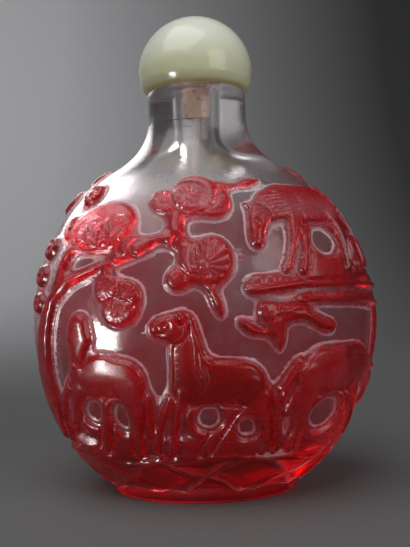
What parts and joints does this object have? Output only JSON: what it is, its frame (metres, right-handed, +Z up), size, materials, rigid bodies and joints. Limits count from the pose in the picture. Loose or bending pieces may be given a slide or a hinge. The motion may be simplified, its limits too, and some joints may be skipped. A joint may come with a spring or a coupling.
{
  "type": "snuff bottle",
  "caption": "Flattened-round clear glass snuff bottle with a carved ruby overlay of horses under pines, a domed pale green stone stopper, a cork and a slender spoon.",
  "frame": {"origin": "middle of the outline, at the level of the foot's underside; the neck's axis is 0.6 mm to its left", "axes": "+Z up the neck; +X along the bottle's broad side, to the right in the picture; -Y faces the viewer of the picture"},
  "size_m": [0.0542, 0.0367, 0.0744],
  "materials": {
    "cased_glass": "clear glass with a satin inside, and a fused ruby overlay that is satin in its cuts and polished on its high parts",
    "pale_green_stone": "polished, slightly translucent",
    "tan_cork": "natural cork, matte",
    "ivory_white": "satin, like bone"
  },
  "bodies": {
    "root": {"bottle": "cased_glass", "stopper_cap": "pale_green_stone", "stopper_cork": "tan_cork", "spoon": "ivory_white"}
  },
  "joints": []
}
